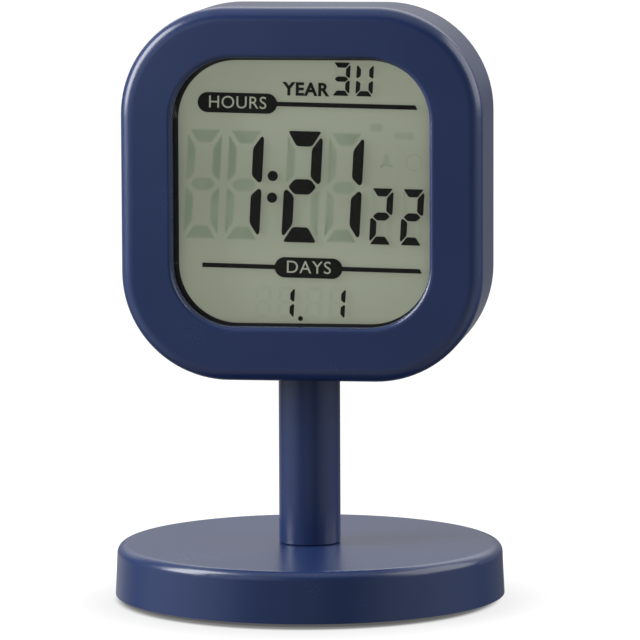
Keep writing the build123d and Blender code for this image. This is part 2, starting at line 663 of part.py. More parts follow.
def switch_bodies():
    """Bodies of the tact switches, each with a well for its plunger."""
    bodies = []
    well_front = SWITCH_BACK - PLUNGER_WELL
    for x in BUTTONS.values():
        spot = (x, BUTTON_Z)
        body = slab(Pos(*spot) * Rectangle(SWITCH_SIDE, SWITCH_SIDE), BOARD_BACK, SWITCH_BACK)
        bodies.append(body - peg(spot, PLUNGER_RADIUS + PLUNGER_PLAY, well_front, SWITCH_BACK))
    return Compound(children=bodies)


def plunger(x):
    """Moving plunger of one tact switch."""
    return peg((x, BUTTON_Z), PLUNGER_RADIUS, SWITCH_BACK - PLUNGER_SUNK, PLUNGER_BACK)


def button(x):
    """Push button: rounded cap, retaining flange and a cross-shaped stem that meets the plunger."""
    spot = (x, BUTTON_Z)
    cap = peg(spot, BUTTON_RADIUS, FLANGE_BACK, HEAD_DEPTH + BUTTON_PROUD)
    cap = fillet(cap.faces().sort_by(Axis.Y)[-1].edges(), BUTTON_EDGE_RADIUS)
    flange_front = FLANGE_BACK - FLANGE_THICK
    cap += peg(spot, FLANGE_RADIUS, flange_front, FLANGE_BACK)
    cross = Rectangle(STEM_ACROSS, STEM_WEB) + Rectangle(STEM_WEB, STEM_ACROSS)
    return cap + slab(Pos(*spot) * cross, PLUNGER_BACK, flange_front)


def buzzer_disc():
    """Brass disc of the sounder, on the ring of the rear cover."""
    return peg((0, BUZZER_Z), BUZZER_RADIUS, CERAMIC_BACK, BUZZER_BACK)


def buzzer_ceramic():
    """Piezo ceramic bonded to the brass disc."""
    return peg((0, BUZZER_Z), CERAMIC_RADIUS, CERAMIC_BACK - BUZZER_THICK, CERAMIC_BACK)


def buzzer_leads():
    """Two insulated wires from the sounder forward to the board."""
    leads = []
    start_depth = CERAMIC_BACK - BUZZER_THICK
    middle_depth = (start_depth + BOARD_BACK) / 2
    for side in (-1, 1):
        route = [
            (side * LEAD_START_X, start_depth, BUZZER_Z),
            (side * LEAD_START_X, middle_depth, BUZZER_Z),
            (side * LEAD_END_X, middle_depth, LEAD_END_Z),
            (side * LEAD_END_X, BOARD_BACK, LEAD_END_Z),
        ]
        points = [(x, HEAD_FRONT_Y + depth, HEAD_CENTRE_Z + z) for x, depth, z in route]
        path = FilletPolyline(*points, radius=LEAD_BEND_RADIUS)
        leads.append(sweep(Plane(path @ 0, z_dir=path % 0) * Circle(LEAD_RADIUS), path))
    return Compound(children=leads)


def cell_pair():
    """Two AAA cells lying opposite ways."""
    cells = []
    body_x = NUB_TIP_X - CELL_NUB - CELL_BODY / 2
    nub_x = NUB_TIP_X - CELL_NUB / 2
    for z, way in ((UPPER_CELL_Z, -1), (LOWER_CELL_Z, 1)):
        cell = level_bar(way * body_x, CELL_DEPTH, z, CELL_RADIUS, CELL_BODY)
        cells.append(cell + level_bar(way * nub_x, CELL_DEPTH, z, CELL_NUB_RADIUS, CELL_NUB))
    return Compound(children=cells)


def strip(points):
    """Bent spring strip from its centre line in front view, as wide as a cell contact."""
    line = FilletPolyline(*points, radius=STRIP_BEND_RADIUS)
    return slab(trace(line, STRIP_THICK), STRIP_FRONT, STRIP_BACK)


def contact_plate(x, z):
    """Flat contact against a bay end."""
    return slab(Pos(x, z) * Rectangle(STRIP_THICK, 2 * STRIP_HALF), STRIP_FRONT, STRIP_BACK)


def contact_dimple(side, z):
    """Raised button of a contact that meets a cell's nub."""
    centre_x = side * (BAY_WIDTH / 2 - STRIP_THICK - DIMPLE_HEIGHT / 2)
    return level_bar(centre_x, CELL_DEPTH, z, DIMPLE_RADIUS, DIMPLE_HEIGHT)


def contact_leaf(side, z):
    """Plate whose upper end folds over into a leaf that presses on a cell's flat end."""
    tip_x = CELL_END_X + STRIP_THICK
    points = [
        (side * CONTACT_X, z - STRIP_HALF),
        (side * CONTACT_X, z + STRIP_HALF),
        (side * tip_x, z),
        (side * (CONTACT_X - STRIP_BEND_RADIUS), z - STRIP_HALF + STRIP_BEND_RADIUS),
    ]
    return strip(points)


def contact_tail(z):
    """Tail that runs from a contact through the bay floor to the board."""
    return slab(Pos(-CONTACT_X, z) * Rectangle(STRIP_THICK, TAIL_WIDTH), BOARD_BACK, STRIP_FRONT)


def contact_positive():
    """Contact of the upper cell's nub, with its tail to the board."""
    plate = contact_plate(-CONTACT_X, UPPER_CELL_Z) + contact_dimple(-1, UPPER_CELL_Z)
    return plate + contact_tail(UPPER_CELL_Z)


def contact_negative():
    """Leaf contact of the lower cell's flat end, with its tail to the board."""
    return contact_leaf(-1, LOWER_CELL_Z) + contact_tail(LOWER_CELL_Z)


def contact_bridge():
    """Strip that joins the two cells: a leaf for the upper one and a plate for the lower one."""
    link = contact_plate(CONTACT_X, BAY_Z)
    lower = contact_plate(CONTACT_X, LOWER_CELL_Z) + contact_dimple(1, LOWER_CELL_Z)
    return contact_leaf(1, UPPER_CELL_Z) + link + lower


def battery_door():
    """Flush door with stiffening ribs, two hooks along its lower edge and a latch tongue with grips."""
    door = slab(door_outline(), DOOR_FRONT, HEAD_DEPTH)
    rib = Rectangle(DOOR_RIB_WIDTH, BAY_HEIGHT - 2 * DOOR_RIB_HEIGHT - 2 * HOOK_DROP)
    for x in DOOR_RIB_SPOTS:
        door += slab(Pos(x, BAY_Z) * rib, DOOR_FRONT - DOOR_RIB_HEIGHT, DOOR_FRONT)
    tongue_back = COVER_FRONT - HOOK_CLEARANCE
    tongue_front = tongue_back - HOOK_THICK
    tongue_low = BAY_LOW - BAY_WALL - HOOK_DROP / 2
    neck_low = BAY_LOW + HOOK_CLEARANCE
    neck_high = neck_low + HOOK_THICK
    for x in HOOK_SPOTS:
        neck = Pos(x, (neck_low + neck_high) / 2) * Rectangle(HOOK_WIDTH, neck_high - neck_low)
        tongue = Pos(x, (tongue_low + neck_high) / 2) * Rectangle(HOOK_WIDTH, neck_high - tongue_low)
        door += slab(neck, tongue_front, DOOR_FRONT) + slab(tongue, tongue_front, tongue_back)
    for side in (-1, 1):
        spot = (side * (LATCH_WIDTH + LATCH_SLOT) / 2, DOOR_TOP - LATCH_LENGTH / 2)
        door -= slab(Pos(*spot) * Rectangle(LATCH_SLOT, LATCH_LENGTH), DOOR_FRONT, HEAD_DEPTH)
    for i in range(GRIP_COUNT):
        bar = Pos(0, DOOR_TOP - (i + 1) * GRIP_PITCH) * Rectangle(GRIP_WIDTH, GRIP_BAR)
        door += slab(bar, HEAD_DEPTH, HEAD_DEPTH + GRIP_PROUD)
    return door


def build_nodes():
    """Every piece of the clock by name."""
    nodes = {
        "base_cover": base_cover(),
        "base_weight": base_weight(),
        "base_plate": base_plate(),
        "base_plate_screws": base_plate_screws(),
        "foot_pad": foot_pad(),
        "post": post(),
        "post_screw": post_screw(HUB_LOW, True),
        "post_washer": washer(HUB_LOW - WASHER_THICK),
        "head_screw": post_screw(HEAD_BOTTOM + POST_SEAT_THICK, False),
        "head_washer": washer(HEAD_BOTTOM + POST_SEAT_THICK),
        "front_case": front_case(),
        "rear_cover": rear_cover(),
        "case_screws": case_screws(),
        "lens_tape": lens_tape(),
        "display_lens": slab(window_outline(LENS_MARGIN), LENS_FRONT, HOLDER_FRONT),
        "lcd_holder": lcd_holder(),
        "lcd_polariser": glass_sheet(POLARISER_FRONT, POLARISER_THICK),
        "lcd_front_glass": slab(glass_outline(), GLASS_FRONT, CRYSTAL_FRONT),
        "lcd_seal": lcd_seal(),
        "lcd_segments": lcd_segments(),
        "lcd_rear_glass": glass_sheet(REAR_GLASS_FRONT, GLASS_THICK),
        "lcd_reflector": glass_sheet(REFLECTOR_FRONT, REFLECTOR_THICK),
        "zebra_strip": zebra_strip(),
        "foam_strip": foam_strip(),
        "main_board": main_board(),
        "board_screws": board_screws(),
        "clock_chip": clock_chip(),
        "quartz_crystal": quartz_crystal(),
        "board_capacitors": board_capacitors(),
        "switch_bodies": switch_bodies(),
        "buzzer_disc": buzzer_disc(),
        "buzzer_ceramic": buzzer_ceramic(),
        "buzzer_leads": buzzer_leads(),
        "battery_cells": cell_pair(),
        "contact_positive": contact_positive(),
        "contact_negative": contact_negative(),
        "contact_bridge": contact_bridge(),
        "battery_door": battery_door(),
    }
    for name, x in BUTTONS.items():
        nodes[name + "_button"] = button(x)
        nodes[name + "_plunger"] = plunger(x)
    return nodes


os.makedirs("parts", exist_ok=True)
for node_name, shape in build_nodes().items():
    export_step(shape, "parts/" + node_name + ".step")
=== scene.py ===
from math import cos, pi, radians, sin

import bmesh
import bpy
import numpy as np
from mathutils import Matrix, Quaternion, Vector


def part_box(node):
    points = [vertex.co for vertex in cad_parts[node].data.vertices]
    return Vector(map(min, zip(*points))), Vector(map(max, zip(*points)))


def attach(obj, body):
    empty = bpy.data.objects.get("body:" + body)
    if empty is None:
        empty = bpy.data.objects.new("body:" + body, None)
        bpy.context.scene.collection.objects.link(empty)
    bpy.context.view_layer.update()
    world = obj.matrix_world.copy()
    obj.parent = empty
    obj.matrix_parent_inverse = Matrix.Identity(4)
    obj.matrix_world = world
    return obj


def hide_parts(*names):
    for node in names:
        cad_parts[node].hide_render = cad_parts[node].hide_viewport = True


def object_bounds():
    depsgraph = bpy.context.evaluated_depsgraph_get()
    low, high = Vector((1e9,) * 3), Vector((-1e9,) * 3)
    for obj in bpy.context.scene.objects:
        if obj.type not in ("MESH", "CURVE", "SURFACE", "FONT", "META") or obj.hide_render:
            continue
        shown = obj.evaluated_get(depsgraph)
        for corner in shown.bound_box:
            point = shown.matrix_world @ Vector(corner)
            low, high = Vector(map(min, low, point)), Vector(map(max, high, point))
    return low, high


bl_info = {
    "name": "Digital alarm clock looks",
    "version": (1, 0, 0),
    "blender": (4, 5, 0),
    "location": "View3D > Sidebar > Clock",
    "description": "Finishes, display figures and studio for a digital alarm clock on a post",
    "category": "Object",
}

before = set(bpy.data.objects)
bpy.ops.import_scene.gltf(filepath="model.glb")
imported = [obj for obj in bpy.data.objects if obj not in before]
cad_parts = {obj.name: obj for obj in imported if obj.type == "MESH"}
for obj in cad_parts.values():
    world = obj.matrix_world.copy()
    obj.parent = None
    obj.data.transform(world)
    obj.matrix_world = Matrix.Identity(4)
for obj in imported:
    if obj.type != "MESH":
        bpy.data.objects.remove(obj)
CAD_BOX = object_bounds()
MM = 0.001

# The window's middle and the depths of the display, from the frame
LENS_LOW, LENS_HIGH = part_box("display_lens")
WINDOW_X = (LENS_LOW.x + LENS_HIGH.x) / 2
WINDOW_Z = (LENS_LOW.z + LENS_HIGH.z) / 2
LENS_MARGIN = 1.5 * MM
WINDOW_HALF = (LENS_HIGH - LENS_LOW) / 2 - Vector((LENS_MARGIN, 0, LENS_MARGIN))
FIGURE_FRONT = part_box("lcd_segments")[0].y
FIGURE_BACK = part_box("lcd_segments")[1].y
FILM_GAP = 0.01 * MM
CELL_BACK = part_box("lcd_reflector")[0].y - FILM_GAP
COVER_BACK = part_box("rear_cover")[1].y

# Height of the print over the window's middle, and strength of the painted glow that brightens the display
# film, which has no lamp
PRINT_LIFT = 0.18 * MM
FACE_PAINTED_GLOW = 1.08

# Digits as width, height, upright stroke, level stroke and gap, in millimetres
TIME_SIZE = (7.1, 21.5, 2.05, 2.95, 0.5)
SECOND_SIZE = (4.25, 10.85, 1.25, 1.55, 0.28)
SMALL_SIZE = (3.3, 6.4, 0.85, 1.0, 0.2)

# Digits of the display: size, middle from the window's middle, and the segments that are lit
DIGITS = [
    (TIME_SIZE, -19.75, 0.65, ""),
    (TIME_SIZE, -11.7, 0.65, "bc"),
    (TIME_SIZE, -0.3, 0.65, "abged"),
    (TIME_SIZE, 7.75, 0.65, "bc"),
    (SECOND_SIZE, 15.15, -4.62, "abged"),
    (SECOND_SIZE, 21.1, -4.62, "abged"),
    (SMALL_SIZE, 6.95, 21.6, "abgcd"),
    (SMALL_SIZE, 11.45, 21.6, "bcdef"),
    (SMALL_SIZE, -7.6, -21.85, ""),
    (SMALL_SIZE, -3.1, -21.85, "bc"),
    (SMALL_SIZE, 2.3, -21.8, ""),
    (SMALL_SIZE, 6.8, -21.75, "bc"),
]
SEGMENTS = "abcdefg"

# Mitres of a digit's segments, counted in its gaps
BAR_END_INSET = 0.6
UPRIGHT_OUTER_DROP = 3.1
UPRIGHT_TIP_INSET = 0.9
UPRIGHT_TIP_DROP = 2.3
UPRIGHT_INNER_DROP = 1.1
UPRIGHT_INNER_RISE = 0.9
UPRIGHT_OUTER_RISE = 1.8
UPRIGHT_END_INSET = 1.2
MIDDLE_TIP_INSET = 1.6

# Dots as middle and radius; badges as a rule's two ends, its height, and a pill's middle, length and height
DOTS = [(-6.05, 2.6, 1.0), (-6.12, -1.6, 1.0), (-0.2, -24.85, 0.48)]
RULE_THICK = 0.87
RULE_SLANT = 0.45
BADGES = [(None, 21.3, 16.5, -13.15, 15.45, 3.9), (-19.5, 22.75, -15.0, 1.2, 13.2, 3.95)]

# Words as text, middle, letter height, letter spacing and stroke weight; light ones lie on the pills
LIGHT_WORDS = [("HOURS", -13.15, 16.5, 2.35, 1.05, 0.0), ("DAYS", 1.2, -15.0, 2.4, 1.08, 0.0)]
DARK_WORDS = [("YEAR", 0.1, 19.35, 2.4, 1.1, 0.13)]
CAPITAL_SHARE = 0.70

# Raised legends over the buttons, in millimetres, and how many times paler than the cover they are
LEGENDS = {"mode": "MODE", "set": "SET", "up": "UP", "down": "DOWN"}
LEGEND_HEIGHT = 2.1
LEGEND_RISE = 5.6
LEGEND_PALER = 3.5
LEGEND_PROUD = 0.3
LEGEND_SPACING = 1.1

# Faint signs beside the time: bell, small clock and two plain fields, from the window's middle
BELL_MIDDLE = (15.85, 6.0)
BELL_SIZE = (1.45, 1.75)
BELL_SHAPE = np.array([(-1, -0.75), (-0.6, -0.35), (-0.5, 0.6), (0, 1), (0.5, 0.6), (0.6, -0.35), (1, -0.75)])
TIMER_MIDDLE = (21.2, 5.9)
TIMER_RADIUS = 1.55
TIMER_STROKE = 0.4
PLAIN_FIELDS = [(13.8, 12.4, 2.9, 2.0), (19.2, 10.95, 4.4, 1.9)]

# How strongly unlit figures of each size and the signs show; their fading rim's width and largest share
TRACES = {TIME_SIZE: 1.0, SECOND_SIZE: 0.3, SMALL_SIZE: 0.2}
SIGN_TRACE = 0.55
TRACE_RIM = 0.5
TRACE_RIM_SHARE = 0.3

# Profile of a battery cell: share of its radius, and millimetres from its flat end
CELL_PROFILE = [
    (0, 0),
    (0.84, 0),
    (0.94, 0.3),
    (1, 1.2),
    (1, 40.4),
    (0.965, 40.7),
    (0.965, 41.2),
    (1, 41.5),
    (1, 42.3),
    (0.9, 43.3),
    (0.42, 43.3),
    (0.36, 43.4),
    (0.345, 44.1),
    (0.3, 44.3),
    (0, 44.3),
]

# Soft lights as place and size, in metres
LIGHTS = {
    "key": ((-0.315, -0.095, 0.23), (0.18, 0.32)),
    "fill": ((0.52, 0.045, 0.33), (0.6, 0.5)),
    "back": ((0.05, 0.5, 0.55), (0.6, 0.6)),
    "card": ((-0.15, -0.3, 0.165), (0.2, 0.18)),
}

# Floor's rings and drop under the foot pad, and how far ahead of the clock its two painted shadows lie
FLOOR_RINGS = np.array([0, 0.2, 1.0, 8.0])
FLOOR_DROP = 0.05 * MM
SHADE_AHEAD = 8 * MM
CONTACT_SHADOW_AHEAD = 4 * MM

# Points on a rounded corner, on an arc, round a turned part and round the floor
CORNER_STEPS = 5
ARC_STEPS = 24
TURN_STEPS = 48
FLOOR_STEPS = 64


class ClockSizes(bpy.types.PropertyGroup):
    """Sizes that a user would change."""

    print_turn: bpy.props.FloatProperty(
        name="Print turn",
        description="Turn of the whole display print",
        default=radians(-1.2),
        subtype="ANGLE",
    )
    slant: bpy.props.FloatProperty(
        name="Digit slant", description="Sideways lean of the digits per unit of height", default=0.035
    )
    corner: bpy.props.FloatProperty(
        name="Figure corner",
        description="Set-back of a segment's corners as a share of its level stroke",
        default=0.2,
    )
    soft_corner: bpy.props.FloatProperty(
        name="Faint corner",
        description="Set-back of a faint figure's corners",
        default=0.9 * MM,
        unit="LENGTH",
    )
    film: bpy.props.FloatProperty(
        name="Film thickness", description="Thickness of a printed film", default=0.02 * MM, unit="LENGTH"
    )


class ClockColours(bpy.types.PropertyGroup):
    """Colours that a user would change, as scene-linear values."""

    navy: bpy.props.FloatVectorProperty(
        name="Navy", description="Moulded housing", default=(0.0130, 0.0290, 0.100), subtype="COLOR"
    )
    face: bpy.props.FloatVectorProperty(
        name="Display face",
        description="Reflector behind the figures",
        default=(0.186, 0.2, 0.156),
        subtype="COLOR",
    )
    figure: bpy.props.FloatVectorProperty(
        name="Lit figure",
        description="Dark figures of the display",
        default=(0.009, 0.0092, 0.0077),
        subtype="COLOR",
    )
    faint: bpy.props.FloatVectorProperty(
        name="Faint figure",
        description="Trace of unlit figures",
        default=(0.108, 0.138, 0.098),
        subtype="COLOR",
    )
    floor: bpy.props.FloatVectorProperty(
        name="Floor",
        description="Pale studio floor, beside its own glow",
        default=(0.1, 0.1, 0.1),
        subtype="COLOR",
    )


class ClockStudio(bpy.types.PropertyGroup):
    """Camera and lights."""

    camera_place: bpy.props.FloatVectorProperty(
        name="Camera place",
        description="Where the camera stands",
        default=(0.1312, -0.9712, 0.1643),
        subtype="XYZ",
    )
    camera_turn: bpy.props.FloatProperty(
        name="Camera turn",
        description="Direction of view from +Y towards -X",
        default=radians(7.57),
        subtype="ANGLE",
    )
    camera_tilt: bpy.props.FloatProperty(
        name="Camera tilt", description="Downward tilt of the view", default=radians(6.43), subtype="ANGLE"
    )
    camera_roll: bpy.props.FloatProperty(
        name="Camera roll",
        description="Turn about the line of sight",
        default=radians(-0.215),
        subtype="ANGLE",
    )
    lens: bpy.props.FloatProperty(
        name="Lens", description="Focal length on a 36 mm sensor, in millimetres", default=285.4
    )
    key_power: bpy.props.FloatProperty(
        name="Key power", description="Small near light from the upper left", default=2.15, unit="POWER"
    )
    fill_power: bpy.props.FloatProperty(
        name="Fill power", description="Soft light from the right", default=2.8, unit="POWER"
    )
    back_power: bpy.props.FloatProperty(
        name="Back power", description="Soft light from above and behind", default=0.8, unit="POWER"
    )
    card_power: bpy.props.FloatProperty(
        name="Card power", description="Dim card before the upper left corner", default=0.075, unit="POWER"
    )


class Wire:
    """A shader socket whose arithmetic adds Math nodes beside it."""

    def __init__(self, board, socket):
        self.board = board
        self.socket = socket

    def math(self, operation, left, right):
        return self.board.node("ShaderNodeMath", {"operation": operation}, {0: left, 1: right})

    def __add__(self, other):
        return self.math("ADD", self, other)

    def __radd__(self, other):
        return self.math("ADD", other, self)

    def __sub__(self, other):
        return self.math("SUBTRACT", self, other)

    def __rsub__(self, other):
        return self.math("SUBTRACT", other, self)

    def __mul__(self, other):
        return self.math("MULTIPLY", self, other)

    def __rmul__(self, other):
        return self.math("MULTIPLY", other, self)

    def __truediv__(self, other):
        return self.math("DIVIDE", self, other)

    def __gt__(self, other):
        return self.math("GREATER_THAN", self, other)

    def __lt__(self, other):
        return self.math("LESS_THAN", self, other)

    def ramp(self, low, high):
        """Smooth step from 0 at low to 1 at high."""
        settings = {"interpolation_type": "SMOOTHSTEP"}
        return self.board.node("ShaderNodeMapRange", settings, {0: self, 1: low, 2: high})


class Board:
    """A node tree and the one way to add nodes to it."""

    def __init__(self, tree):
        self.tree = tree

    def node(self, kind, settings=None, sockets=None, output=0):
        """Add a node, apply its settings, fill its sockets with values or wires, and give an output."""
        node = self.tree.nodes.new(kind)
        for name, value in (settings or {}).items():
            setattr(node, name, value)
        for key, value in (sockets or {}).items():
            self.plug(node.inputs[key], value)
        return Wire(self, node.outputs[output])

    def plug(self, socket, value):
        """Link a wire to a socket, or set the socket's own value."""
        if isinstance(value, Wire):
            self.tree.links.new(value.socket, socket)
        else:
            socket.default_value = value

    def mix(self, factor, first, second):
        """Blend of two colours."""
        settings = {"data_type": "RGBA"}
        return self.node("ShaderNodeMix", settings, {0: factor, 6: first, 7: second}, output=2)

    def axes(self, vector):
        """The three parts of a vector."""
        parts = self.node("ShaderNodeSeparateXYZ", None, {0: vector})
        return [Wire(self, socket) for socket in parts.socket.node.outputs]


class Finish(Board):
    """A material on a Principled shader, with patterns in Object coordinates."""

    def __init__(self, name, **constants):
        self.material = bpy.data.materials.new(name)
        self.material.use_nodes = True
        super().__init__(self.material.node_tree)
        self.shader = self.tree.nodes["Principled BSDF"]
        self.output = self.tree.nodes["Material Output"]
        self.place = self.node("ShaderNodeTexCoord", output="Object")
        for name, value in constants.items():
            self.shader.inputs[name.replace("_", " ").title().replace("Ior", "IOR")].default_value = value

    def noise(self, size, detail=2.0):
        """Cloudy pattern from 0 to 1 whose lumps have a size in metres."""
        sockets = {"Vector": self.place, "Scale": 1 / size, "Detail": detail}
        return self.node("ShaderNodeTexNoise", None, sockets)

    def colour(self, value):
        self.plug(self.shader.inputs["Base Color"], value)

    def rough(self, value):
        self.plug(self.shader.inputs["Roughness"], value)

    def sheen(self, straight):
        """Share of light that a clear surface reflects, on either face: r + (1 - r) (1 - cos)^5."""
        facing = self.node("ShaderNodeLayerWeight", None, {"Blend": 0.5}, output="Facing")
        slant = self.node("ShaderNodeMath", {"operation": "POWER"}, {0: facing, 1: 5.0})
        return straight + (1 - straight) * slant

    def relief(self, height, depth):
        """Bump of a depth in metres."""
        bump = self.node("ShaderNodeBump", None, {"Strength": 1.0, "Distance": depth, "Height": height})
        self.plug(self.shader.inputs["Normal"], bump)


def shade(colour, factor):
    """A colour made lighter or darker, with full alpha."""
    return (*[min(1.0, part * factor) for part in colour], 1.0)


def moulded(name, colour, rough, grain=0.25 * MM, drift=0.07, depth=0.0008 * MM, **constants):
    """Moulded plastic or paint: slow drift of tone, mottled gloss and a shallow fine grain."""
    finish = Finish(name, **constants)
    cloud = finish.noise(14 * MM)
    fleck = finish.noise(grain)
    finish.colour(finish.mix(cloud, shade(colour, 1 - drift), shade(colour, 1 + drift)))
    finish.rough(rough - 0.04 + 0.06 * cloud + 0.02 * fleck)
    finish.relief(fleck, depth)
    return finish.material


def drawn_metal(name, colour, rough, lines=(1.0, 1.0, 14.0), size=1.2 * MM):
    """Rolled or plated metal: fine lines stretched along one direction."""
    finish = Finish(name, metallic=1.0)
    stretch = finish.node("ShaderNodeMapping", None, {"Vector": finish.place, "Scale": lines})
    brush = finish.node("ShaderNodeTexNoise", None, {"Vector": stretch, "Scale": 1 / size, "Detail": 4.0})
    finish.colour(finish.mix(brush, shade(colour, 0.82), shade(colour, 1.1)))
    finish.rough(rough + 0.2 * (brush - 0.5))
    finish.relief(brush, 0.003 * MM)
    return finish.material


def clear_sheet(name, tint, straight):
    """Clear sheet: see-through, with a polished surface that reflects more at a slant."""
    finish = Finish(name, base_color=(1.0, 1.0, 1.0, 1.0), metallic=1.0)
    finish.rough(0.02 + 0.03 * finish.noise(8 * MM))
    through = finish.node("ShaderNodeBsdfTransparent", None, {"Color": (*tint, 1.0)})
    mirror = Wire(finish, finish.shader.outputs[0])
    mixed = finish.node("ShaderNodeMixShader", None, {0: finish.sheen(straight), 1: through, 2: mirror})
    finish.plug(finish.output.inputs["Surface"], mixed)
    return finish.material


def face_tone(finish, colour):
    """Reflector film's colour: a slow tone with a fine sparkle, and painted shade along its middle and near
    the window's edges.
    """
    cloud = finish.noise(22 * MM)
    speck = finish.noise(0.16 * MM)
    finish.rough(0.6 + 0.1 * speck)
    tone = finish.mix(0.6 * cloud + 0.4 * speck, shade(colour, 0.95), shade(colour, 1.05))
    x, _, z = finish.axes(finish.place)
    aside = finish.node("ShaderNodeMath", {"operation": "ABSOLUTE"}, {0: x - WINDOW_X})
    above = finish.node("ShaderNodeMath", {"operation": "ABSOLUTE"}, {0: z - WINDOW_Z})
    # Painted shade: the film darkens near the window's edges, where the bezel shades it, and across its
    # middle
    edge = aside.ramp(WINDOW_HALF.x - 3 * MM, WINDOW_HALF.x + 1.5 * MM)
    edge = edge + above.ramp(WINDOW_HALF.z - 2 * MM, WINDOW_HALF.z + 1.5 * MM)
    painted_shade = 0.1 - 0.1 * above.ramp(3 * MM, 14 * MM) + 0.35 * edge
    return finish.mix(painted_shade, tone, (0, 0, 0, 1))


def with_painted_glow(finish, tone):
    """Give a finish a colour that is also emitted: a painted glow that brightens the display film, which has
    no lamp.
    """
    finish.colour(tone)
    # Painted light: the film's colour is also emitted, so it glows without a lamp
    finish.plug(finish.shader.inputs["Emission Color"], tone)
    return finish.material


def display_face(name, colour):
    """Diffuse reflector film, with painted shade and a painted glow."""
    finish = Finish(name, specular_ior_level=0.2, emission_strength=FACE_PAINTED_GLOW)
    return with_painted_glow(finish, face_tone(finish, colour))


def display_cell(colour, split):
    """Display sandwich: polished and clear in front of a depth, reflector film with painted shade and a
    painted glow behind it.
    """
    finish = Finish("display_cell", specular_ior_level=0.0, emission_strength=FACE_PAINTED_GLOW)
    with_painted_glow(finish, face_tone(finish, colour))
    _, y, _ = finish.axes(finish.place)
    mirror = finish.node("ShaderNodeBsdfGlossy", None, {"Roughness": 0.05})
    through = finish.node("ShaderNodeBsdfTransparent")
    clear = finish.node("ShaderNodeMixShader", None, {0: finish.sheen(0.003), 1: through, 2: mirror})
    film = Wire(finish, finish.shader.outputs[0])
    mixed = finish.node("ShaderNodeMixShader", None, {0: y > split, 1: clear, 2: film})
    finish.plug(finish.output.inputs["Surface"], mixed)
    return finish.material


def figure_ink(colour):
    """Dark liquid crystal with a slight mottle."""
    finish = Finish("figure_ink", specular_ior_level=0.05)
    cloud = finish.noise(3 * MM)
    finish.colour(finish.mix(cloud, shade(colour, 0.8), shade(colour, 1.25)))
    finish.rough(0.5 + 0.1 * cloud)
    return finish.material


def faint_ink(face, colour):
    """Trace of unlit figures on the reflector film, uneven and fading out at the rims, with the film's
    painted shade and painted glow.
    """
    finish = Finish("faint_ink", specular_ior_level=0.0, emission_strength=FACE_PAINTED_GLOW)
    cloud = finish.noise(9 * MM, 1.0)
    fade = finish.node("ShaderNodeAttribute", {"attribute_name": "fade"}, output="Fac")
    strength = fade * (0.5 + 0.5 * cloud.ramp(0.3, 0.7))
    return with_painted_glow(finish, finish.mix(strength, face_tone(finish, face), shade(colour, 1.0)))


def solder_mask(colour):
    """Green board coating over paler copper tracks."""
    finish = Finish("solder_mask", coat_weight=0.3)
    sockets = {"Vector": finish.place, "Scale": 350.0}
    cells = finish.node("ShaderNodeTexVoronoi", {"feature": "DISTANCE_TO_EDGE"}, sockets)
    track = cells.ramp(0.05, 0.12)
    finish.colour(finish.mix(track, shade(colour, 2.2), shade(colour, 0.9)))
    finish.rough(0.35 + 0.1 * track)
    finish.relief(1 - track, 0.02 * MM)
    return finish.material


def zebra_rubber():
    """Rubber strip of thin conductive and insulating layers across its length."""
    finish = Finish("zebra_rubber")
    x, _, _ = finish.axes(finish.place)
    layer = finish.node("ShaderNodeMath", {"operation": "PINGPONG"}, {0: x, 1: 0.12 * MM}) / (0.12 * MM)
    finish.colour(finish.mix(layer.ramp(0.45, 0.55), (0.01, 0.01, 0.01, 1.0), (0.16, 0.15, 0.14, 1.0)))
    finish.rough(0.7 + 0.1 * layer)
    return finish.material


def cell_sleeve():
    """Printed cell sleeve: dark grey body, pale grey collar at the nub end, bare metal ends."""
    finish = Finish("cell_sleeve")
    along = finish.node("ShaderNodeAttribute", {"attribute_name": "along"}, output="Fac")
    collar = along.ramp(0.735, 0.74)
    bare = (along > 0.968) + (along < 0.012)
    cloud = finish.noise(2 * MM)
    sleeve = finish.mix(collar, (0.05, 0.05, 0.06, 1.0), (0.36, 0.37, 0.38, 1.0))
    finish.colour(finish.mix(bare, sleeve, (0.62, 0.61, 0.58, 1.0)))
    finish.rough(0.28 + 0.08 * cloud)
    finish.plug(finish.shader.inputs["Metallic"], 0.25 + 0.6 * bare)
    return finish.material


def put_mesh(name, grids, body, material, attribute=None):
    """One piece from grids of points that close round their columns; each grid's end rows meet in a point."""
    points = []
    faces = []
    start = 0
    for grid in grids:
        rows, columns, _ = grid.shape
        index = start + np.arange(rows * columns).reshape(rows, columns)
        after = np.roll(index, -1, axis=1)
        faces.append(np.stack([index[:-1], after[:-1], after[1:], index[1:]], axis=-1).reshape(-1, 4))
        points.append(grid.reshape(-1, 3))
        start += rows * columns
    mesh = bpy.data.meshes.new(name)
    mesh.from_pydata(np.concatenate(points), [], np.concatenate(faces))
    if attribute is not None:
        layer = mesh.attributes.new(attribute[0], "FLOAT", "POINT")
        layer.data.foreach_set("value", np.concatenate([a.ravel() for a in attribute[1]]).astype(np.float32))
    return put_piece(name, mesh, body, material)


def put_piece(name, mesh, body, material):
    """Weld a mesh, turn its faces outwards and let it ride on a body."""
    cleaned = bmesh.new()
    cleaned.from_mesh(mesh)
    bmesh.ops.remove_doubles(cleaned, verts=cleaned.verts, dist=1e-7)
    bmesh.ops.recalc_face_normals(cleaned, faces=cleaned.faces)
    cleaned.to_mesh(mesh)
    cleaned.free()
    mesh.shade_smooth()
    mesh.set_sharp_from_angle(angle=radians(35))
    mesh.materials.clear()
    mesh.materials.append(material)
    piece = bpy.data.objects.new(name, mesh)
    bpy.context.scene.collection.objects.link(piece)
    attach(piece, body)
    return piece


